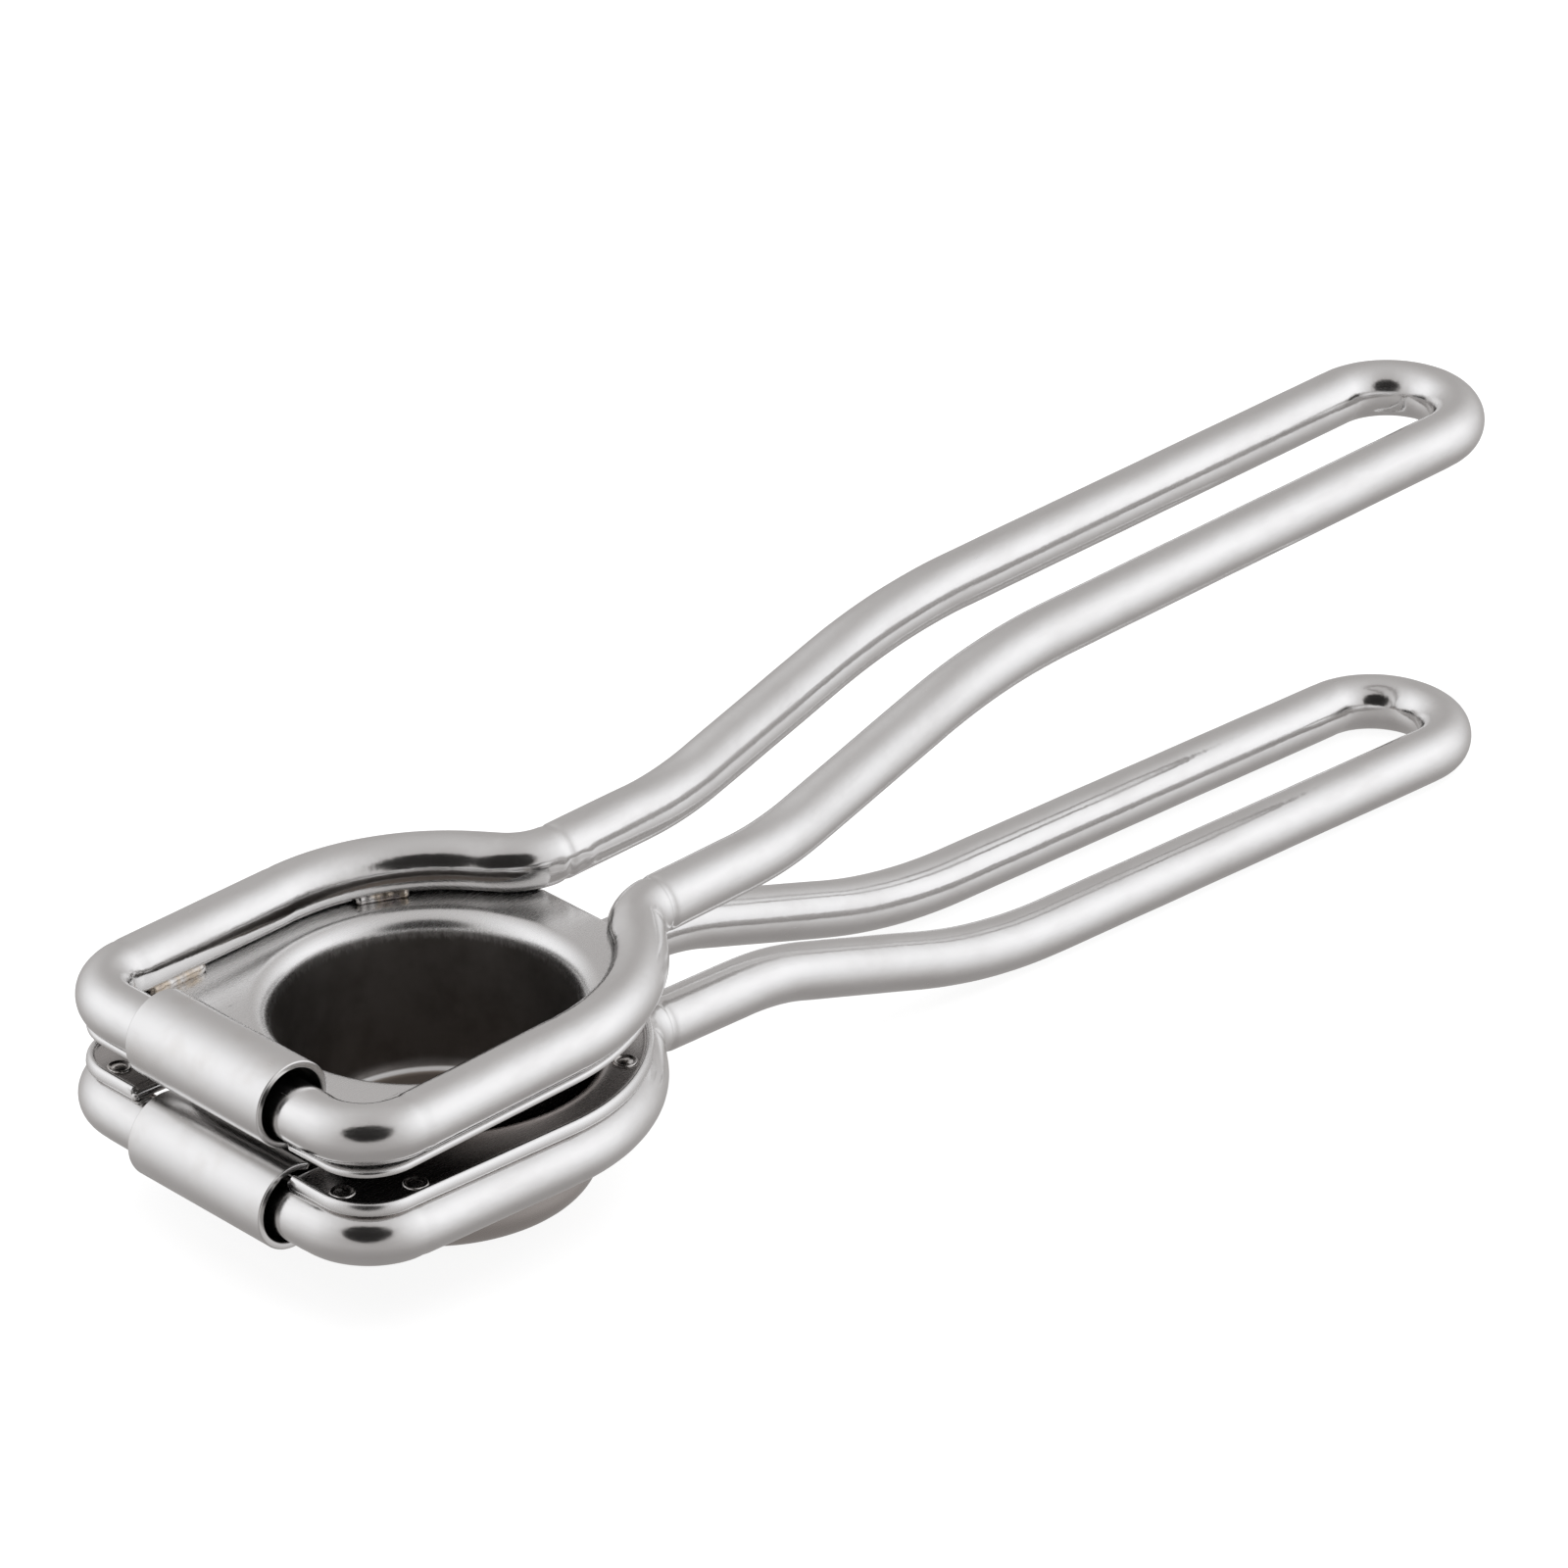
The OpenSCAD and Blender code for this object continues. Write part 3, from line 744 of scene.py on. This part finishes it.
def butt_weld(name, at, seed):
    """The ring of weld that closes a frame in the middle of its front bar."""
    rising = [(TUBE_R + height, -half_w) for height, half_w in BUTT_PROFILE]
    falling = [(TUBE_R + height, half_w) for height, half_w in BUTT_PROFILE[-2::-1]]
    rows = turned_points(rising + falling, BUTT_COLUMNS)
    faces = grid_faces(len(rows), BUTT_COLUMNS, close_rows=True)
    points = rows.reshape(-1, 3)[:, [2, 0, 1]]
    outward = unit(points * np.array([0, 1, 1]))
    points = waved(points, outward, WELD_WAVE_DEPTH, 1.2, seed)
    return add_object(name, points, faces, at, sharp=60)


# ---- materials ----

class Nodes:
    """A small helper that adds and links the nodes of one material."""

    def __init__(self, name):
        self.material = bpy.data.materials.new(name)
        self.material.use_nodes = True
        self.tree = self.material.node_tree
        self.shader = self.tree.nodes["Principled BSDF"]
        self.shader.inputs["Metallic"].default_value = 1.0

    def add(self, kind, inputs=None, **settings):
        node = self.tree.nodes.new(kind)
        for key, value in settings.items():
            setattr(node, key, value)
        for key, value in (inputs or {}).items():
            self.put(value, node.inputs[key])
        return node

    def put(self, value, socket):
        if isinstance(value, bpy.types.NodeSocket):
            self.tree.links.new(value, socket)
        else:
            socket.default_value = value

    def attribute(self, name):
        return self.add("ShaderNodeAttribute", attribute_name=name).outputs["Vector"]

    def scaled(self, vector, scale):
        node = self.add("ShaderNodeVectorMath", {0: vector, 1: scale}, operation="MULTIPLY")
        return node.outputs["Vector"]

    def joined(self, x, y, z):
        return self.add("ShaderNodeCombineXYZ", {"X": x, "Y": y, "Z": z}).outputs["Vector"]

    def noise(self, vector, scale, detail=3.0, roughness=0.5):
        node = self.add("ShaderNodeTexNoise", {"Vector": vector, "Scale": scale, "Detail": detail,
                                               "Roughness": roughness})
        return node.outputs["Fac"]

    def ramp(self, value, low, high, to_low=0.0, to_high=1.0):
        node = self.add("ShaderNodeMapRange", {"Value": value, "From Min": low, "From Max": high,
                                               "To Min": to_low, "To Max": to_high},
                        interpolation_type="SMOOTHSTEP")
        return node.outputs["Result"]

    def math(self, operation, a, b=0.0):
        return self.add("ShaderNodeMath", {0: a, 1: b}, operation=operation).outputs["Value"]

    def mix(self, factor, a, b):
        node = self.add("ShaderNodeMix", data_type="RGBA")
        self.put(factor, node.inputs["Factor"])
        colours = [s for s in node.inputs if s.type == "RGBA"]
        self.put(a, colours[0])
        self.put(b, colours[1])
        return next(s for s in node.outputs if s.type == "RGBA")

    def bump(self, height, distance, normal=None):
        inputs = {"Height": height, "Distance": distance, "Strength": 1.0}
        if normal is not None:
            inputs["Normal"] = normal
        return self.add("ShaderNodeBump", inputs).outputs["Normal"]

    def finish(self, colour, roughness, normal):
        self.put(colour, self.shader.inputs["Base Color"])
        self.put(roughness, self.shader.inputs["Roughness"])
        self.put(normal, self.shader.inputs["Normal"])
        return self.material


# Colours of the metal as (red, green, blue, 1). The darker copies of the steel are painted shade, and
# the brown one is a painted reflection.
STEEL = (0.80, 0.795, 0.79, 1)
STEEL_WORN = (0.70, 0.685, 0.675, 1)
# Painted shade: the dark colour of the drawn walls' inside
STEEL_WALL_SHADE = (0.17, 0.155, 0.145, 1)
STEEL_SHADED = (0.15, 0.142, 0.136, 1)
# Painted reflection: the brownish colour of the vessels' floors
STEEL_FLOOR_REFLECTION = (0.36, 0.31, 0.275, 1)
# Painted shade: the darker top side of the bowl, under the cup
STEEL_FLANGE_SHADE = (0.52, 0.50, 0.49, 1)
# Painted shade: the darker outside of the drawn walls and the bowl's underside
STEEL_OUTSIDE_SHADE = (0.52, 0.485, 0.465, 1)
SMUDGE = (0.60, 0.55, 0.50, 1)
STRAW = (0.46, 0.34, 0.20, 1)
BLUED = (0.25, 0.24, 0.30, 1)


def tube_steel():
    """Polished tube: fine lines along it, cloudy handling marks and a slight orange peel."""
    n = Nodes("polished_tube")
    straight = n.attribute("straight")
    lines = n.noise(n.scaled(straight, (0.05, 2.6, 2.6)), 1.0, 4.0, 0.6)
    clouds = n.noise(n.scaled(straight, (0.12, 0.3, 0.3)), 1.0, 3.0, 0.55)
    peel = n.noise(straight, 0.55, 2.0)
    scratches = n.ramp(n.noise(n.scaled(straight, (0.35, 5.0, 5.0)), 1.0, 2.0), 0.68, 0.76)
    rough = n.math("ADD", n.ramp(clouds, 0.3, 0.75, 0.12, 0.20),
                   n.ramp(lines, 0.3, 0.7, -0.02, 0.03))
    rough = n.math("ADD", rough, n.math("MULTIPLY", scratches, 0.1))
    colour = n.mix(n.ramp(clouds, 0.35, 0.8, 0.0, 0.45), STEEL, STEEL_WORN)
    normal = n.bump(peel, 0.03 * MM)
    normal = n.bump(lines, 0.005 * MM, normal)
    return n.finish(colour, rough, normal)


def sheet_steel(name):
    """The noises and facts that a pressed sheet's material is mixed from."""
    n = Nodes(name)
    local, facts = n.attribute("local"), n.attribute("facts")
    split = n.add("ShaderNodeSeparateXYZ", {"Vector": facts})
    side, radius, height = split.outputs
    inside = n.ramp(side, UNDERNEATH, ON_TOP)
    rim = n.ramp(side, ON_TOP + 0.1, ON_RIM - 0.3)
    place_split = n.add("ShaderNodeSeparateXYZ", {"Vector": local})
    angle = n.math("ARCTAN2", place_split.outputs["Y"], place_split.outputs["X"])
    round_x, round_y = n.math("COSINE", angle), n.math("SINE", angle)
    wall = n.joined(round_x, round_y, n.math("MULTIPLY", height, 0.02))
    streaks = n.noise(wall, 34.0, 5.0, 0.7)
    rings = n.joined(n.math("MULTIPLY", radius, 3.0), round_x, round_y)
    turned = n.noise(rings, 1.0, 3.0, 0.6)
    brushed = n.noise(n.scaled(local, (3.0, 0.12, 3.0)), 1.0, 4.0, 0.6)
    clouds = n.noise(local, 0.16, 3.0)
    n.noises = (streaks, turned, brushed, clouds)
    n.facts = (inside, height, rim)
    return n


def pressed_material(name, wall_top, floor_z, top, under, outside):
    """Pressed sheet: brushed flange, streaked draw radius, an inside wall that is rougher and
    painted dark as painted shade, a floor painted brown as a painted reflection, and painted
    highlights on the rim and round the floor's edge. wall_top is the height where the draw
    radius ends and floor_z the height of the inside bend's painted highlight line. top, under
    and outside are the colours of the flange's top, of its underside and of the drawn wall's
    outside; the darker ones are painted shade."""
    n = sheet_steel(name)
    streaks, turned, brushed, clouds = n.noises
    inside, height, rim = n.facts
    ragged = n.math("ADD", height, n.ramp(streaks, 0.25, 0.75, -0.45, 0.45))
    below = n.math("MULTIPLY", n.ramp(ragged, wall_top - 1.2, wall_top + 0.7, 1.0, 0.0), inside)
    on_floor = n.ramp(height, floor_z - 0.3, floor_z + 0.1, 1.0, 0.0)
    on_floor = n.math("MULTIPLY", on_floor, inside)
    # Painted highlight: a thin bright line round the inside bend of the floor
    bright = n.math("MULTIPLY", n.ramp(height, floor_z, floor_z + 0.25, 1.0, 0.0),
                    n.ramp(height, floor_z - 0.35, floor_z - 0.15, 0.0, 1.0))
    blotches = n.ramp(clouds, 0.3, 0.75, 0.9, 1.0)
    drawn = n.ramp(height, wall_top - 3.0, wall_top - 0.5, 1.0, 0.0)
    # Painted shade: the underside and the drawn wall's outside take the darker under and outside
    # colours
    colour = n.mix(n.ramp(inside, 0.4, 0.6), n.mix(drawn, under, outside), top)
    # Painted shade: the inside wall below the draw radius is painted dark (it is also made rougher
    # below)
    colour = n.mix(n.math("MULTIPLY", below, blotches), colour, STEEL_WALL_SHADE)
    # Painted reflection: the floor of the cup and of the bowl is painted brown
    colour = n.mix(on_floor, colour, STEEL_FLOOR_REFLECTION)
    # Painted highlights: the rim rows and the line round the floor take the bright steel colour
    colour = n.mix(n.math("MAXIMUM", rim, n.math("MULTIPLY", bright, inside)), colour, STEEL)
    rough = n.math("ADD", n.ramp(brushed, 0.3, 0.7, 0.24, 0.29),
                   n.math("MULTIPLY", below, 0.16))
    normal = n.bump(n.math("MULTIPLY", streaks, inside), 0.006 * MM)
    normal = n.bump(turned, 0.0015 * MM, normal)
    normal = n.bump(brushed, 0.001 * MM, normal)
    return n.finish(colour, rough, normal)


def link_steel():
    """Rolled link: satin sheet with faint lines, soft smudges and a shaded inside."""
    n = Nodes("satin_link")
    straight = n.attribute("straight")
    through = n.add("ShaderNodeSeparateXYZ", {"Vector": straight}).outputs["Z"]
    lines = n.noise(n.scaled(straight, (0.12, 3.2, 3.2)), 1.0, 4.0, 0.6)
    clouds = n.noise(straight, 0.16, 3.0, 0.55)
    rough = n.math("ADD", n.ramp(clouds, 0.3, 0.75, 0.19, 0.27),
                   n.ramp(lines, 0.3, 0.7, -0.02, 0.02))
    stain = n.ramp(clouds, 0.45, 0.75, 0.0, 0.22)
    colour = n.mix(stain, STEEL, SMUDGE)
    colour = n.mix(n.ramp(through, -0.45, -0.2, 0.9, 0.0), colour, STEEL_SHADED)
    normal = n.bump(clouds, 0.02 * MM)
    normal = n.bump(lines, 0.002 * MM, normal)
    return n.finish(colour, rough, normal)


def weld_metal(name, tint):
    """Weld metal: rippled, with straw and blue heat tint. tint is how strong the colours are."""
    n = Nodes(name)
    where = n.add("ShaderNodeTexCoord").outputs["Object"]
    ripples = n.noise(where, 1400.0, 3.0, 0.6)
    patches = n.noise(where, 420.0, 2.0)
    warm = n.mix(n.ramp(patches, 0.35, 0.6, 0.0, tint), STEEL_WORN, STRAW)
    colour = n.mix(n.ramp(patches, 0.58, 0.75, 0.0, tint), warm, BLUED)
    rough = n.ramp(ripples, 0.3, 0.7, 0.18, 0.36)
    return n.finish(colour, rough, n.bump(ripples, 0.04 * MM))


# ---- the object ----

def build():
    """Makes every visible piece and hands each to the body it moves with."""
    tube = tube_steel()
    weld = weld_metal("heat_tinted_weld", 0.6)
    spot = weld_metal("spot_weld_nugget", 0.1)
    # The cup's underside and outside are painted shade
    cup_metal = pressed_material("pressed_cup", CUP_WALL_TOP, CUP_LINE_Z,
                                 STEEL, STEEL_SHADED, STEEL_OUTSIDE_SHADE)
    # The bowl's top side, underside and outside take darker colours as painted shade
    bowl_metal = pressed_material("pressed_bowl", BOWL_WALL_TOP, BOWL_LINE_Z,
                                  STEEL_FLANGE_SHADE, STEEL_OUTSIDE_SHADE, STEEL_OUTSIDE_SHADE)
    lower = frame_tube("lower_tube", AT_LOWER_FRAME, 1)
    upper = frame_tube("upper_tube", AT_UPPER, 2, plugged=True)
    finish_piece(lower, "lower_frame_tube", "lower", tube)
    finish_piece(upper, "upper_frame_tube", "upper", tube)
    cup_under, bowl_under = -TUBE_R - SHEET_T, TUBE_R
    cup = plate("press_cup_plate", AT_UPPER, cup_profile(), CUP_Y, cup_under, 0.0, 3)
    finish_piece(cup, "cup_plate", "upper", cup_metal)
    bowl = plate("strainer_bowl_plate", AT_LOWER, bowl_profile(), BOWL_Y, bowl_under, 1.0, 4)
    drill(bowl)
    finish_piece(bowl, "bowl_plate", "lower", bowl_metal)
    link = hinge_link("rolled_link")
    finish_piece(link, "hinge_link", "link", link_steel())
    beads = cup_beads("cup_weld_beads")
    finish_piece(beads, "cup_plate_weld_beads", "upper", weld)
    spots = spot_welds("bowl_spot_welds")
    finish_piece(spots, "bowl_plate_spot_welds", "lower", spot)
    for body, at in (("lower", AT_LOWER), ("upper", AT_UPPER)):
        ring = butt_weld(body + "_butt_weld", at, len(body))
        finish_piece(ring, body + "_frame_butt_weld", body, weld)


# ---- the studio ----

def direction(azimuth, elevation):
    """Unit vector towards an azimuth (0 is in front of the bar, 90 to the right) and elevation."""
    a, e = math.radians(azimuth), math.radians(elevation)
    return Vector((math.sin(a) * math.cos(e), -math.cos(a) * math.cos(e), math.sin(e)))


CAMERA_AZIMUTH = 45.93
CAMERA_ELEVATION = 27.18
CAMERA_ROLL = 0.83
CAMERA_DISTANCE = 1.140
CAMERA_LENS = 193.3
CAMERA_SENSOR = 36.0
CAMERA_SLIDE = (0.00795, 0.0221)                    # metres to the right and upwards
CAMERA_AIM = LOWER_BAR + Vector((0, 0.089, 0))


def camera():
    """The camera, a long lens that looks down on the hinge from the front right."""
    back = direction(CAMERA_AZIMUTH, CAMERA_ELEVATION)
    right = Vector((0, 0, 1)).cross(back).normalized()
    up = back.cross(right)
    c, s = math.cos(math.radians(CAMERA_ROLL)), math.sin(math.radians(CAMERA_ROLL))
    spot = CAMERA_AIM + back * CAMERA_DISTANCE + right * CAMERA_SLIDE[0] + up * CAMERA_SLIDE[1]
    axes = Matrix((right * c + up * s, up * c - right * s, back)).transposed()
    data = bpy.data.cameras.new("camera")
    data.lens = CAMERA_LENS
    data.sensor_width = CAMERA_SENSOR
    obj = bpy.data.objects.new("camera", data)
    obj.matrix_world = Matrix.Translation(spot) @ axes.to_4x4()
    bpy.context.scene.collection.objects.link(obj)
    bpy.context.scene.camera = obj


# Broad soft lobes of light as (azimuth, elevation, strength), and how fast they fall off
LOBES = ((-48, 24, 0.66), (136, 24, 0.72))
LOBE_POWER = 2.8
SKY_GLOW = 0.47
DOWN_GLOW = 0.34
FULL_GLOW = SKY_GLOW + 0.6                          # where the tint is fully cool
DOWN_HEIGHTS = (-0.95, -0.3)                        # where the glow from below fades into the sky's
GLOW_WARM = (1.0, 0.95, 0.925, 1)                   # tint of the dimmest parts
GLOW_COOL = (0.985, 0.985, 1.0, 1)                  # tint of the brightest parts
# A dim gap in the light: where it is, and the cosines where it starts and where it is full
GAP_FACING = (46, 24)
GAP_EDGE = (0.84, 0.905)
GAP_GLOW = 0.05


def world_node(tree, kind, operation, values):
    """A maths node of the world with its inputs linked or set. Returns its value."""
    made = tree.nodes.new(kind)
    made.operation = operation
    for socket, value in zip(made.inputs, values):
        if isinstance(value, bpy.types.NodeSocket):
            tree.links.new(value, socket)
        else:
            socket.default_value = value
    return made.outputs["Value"]


def world_ramp(tree, value, low, high, to_low, to_high):
    """A soft step of a value from to_low at low to to_high at high."""
    made = tree.nodes.new("ShaderNodeMapRange")
    made.interpolation_type = "SMOOTHSTEP"
    tree.links.new(value, made.inputs["Value"])
    ends = {"From Min": low, "From Max": high, "To Min": to_low, "To Max": to_high}
    for key, number in ends.items():
        made.inputs[key].default_value = number
    return made.outputs["Result"]


def glow_strength(tree):
    """How bright the studio is in each direction."""
    where = tree.nodes.new("ShaderNodeTexCoord").outputs["Generated"]
    split = tree.nodes.new("ShaderNodeSeparateXYZ")
    tree.links.new(where, split.inputs["Vector"])

    def facing(azimuth, elevation):
        towards = direction(azimuth, elevation)
        return world_node(tree, "ShaderNodeVectorMath", "DOT_PRODUCT", (where, towards))

    def joined(operation, a, b):
        return world_node(tree, "ShaderNodeMath", operation, (a, b))

    total = world_ramp(tree, split.outputs["Z"], *DOWN_HEIGHTS, DOWN_GLOW, SKY_GLOW)
    for azimuth, elevation, strength in LOBES:
        towards = joined("MAXIMUM", facing(azimuth, elevation), 0.0)
        lobe = joined("MULTIPLY", joined("POWER", towards, LOBE_POWER), strength)
        total = joined("ADD", total, lobe)
    return joined("MULTIPLY", total, world_ramp(tree, facing(*GAP_FACING), *GAP_EDGE, 1.0, GAP_GLOW))


def world():
    """Even white light with two broad soft lobes and a dim gap, fixed in the row frame."""
    made = bpy.data.worlds.new("studio")
    bpy.context.scene.world = made
    made.use_nodes = True
    tree = made.node_tree
    total = glow_strength(tree)
    tint = tree.nodes.new("ShaderNodeMix")
    tint.data_type = "RGBA"
    share = world_ramp(tree, total, GAP_GLOW, FULL_GLOW, 0.0, 1.0)
    tree.links.new(share, tint.inputs["Factor"])
    colours = [socket for socket in tint.inputs if socket.type == "RGBA"]
    colours[0].default_value = GLOW_WARM
    colours[1].default_value = GLOW_COOL
    result = next(socket for socket in tint.outputs if socket.type == "RGBA")
    background = tree.nodes["Background"]
    tree.links.new(result, background.inputs["Color"])
    tree.links.new(total, background.inputs["Strength"])


LIGHT_AIM = Vector((0, 0, 0.02))


def area_light(name, azimuth, elevation, distance, size, power):
    """A square light that points at the object and that the camera doesn't see."""
    data = bpy.data.lights.new(name, "AREA")
    data.shape = "SQUARE"
    data.size = size
    data.energy = power
    obj = bpy.data.objects.new(name, data)
    facing = direction(azimuth, elevation)
    obj.location = LIGHT_AIM + facing * distance
    obj.rotation_mode = "QUATERNION"
    obj.rotation_quaternion = facing.to_track_quat("Z", "Y")
    obj.visible_camera = False
    bpy.context.scene.collection.objects.link(obj)
    return obj


TABLE_HALF = 6.0
TABLE_Z = -0.0001                                   # just clear of the polished metal's waves
TABLE_GLOW = 0.88


def table():
    """A plain pale table top. The steel mirrors the studio's glow instead of its clipped white."""
    corners = [(x * TABLE_HALF, y * TABLE_HALF, TABLE_Z)
               for x, y in ((-1, -1), (1, -1), (1, 1), (-1, 1))]
    mesh = bpy.data.meshes.new("table")
    mesh.from_pydata(corners, [], [(0, 1, 2, 3)])
    obj = bpy.data.objects.new("table", mesh)
    bpy.context.scene.collection.objects.link(obj)
    material = bpy.data.materials.new("pale_table")
    material.use_nodes = True
    shader = material.node_tree.nodes["Principled BSDF"]
    shader.inputs["Base Color"].default_value = (0.22, 0.22, 0.22, 1)
    shader.inputs["Emission Color"].default_value = (1, 1, 1, 1)
    shader.inputs["Emission Strength"].default_value = TABLE_GLOW
    shader.inputs["Roughness"].default_value = 0.9
    shader.inputs["Specular IOR Level"].default_value = 0.1
    mesh.materials.append(material)
    obj.visible_glossy = False


def studio():
    world()
    top = area_light("overhead_softbox", 0, 88, distance=1.6, size=2.4, power=34)
    top.visible_glossy = False
    table()
    bpy.context.scene.view_settings.view_transform = "Standard"


camera()
build()
studio()
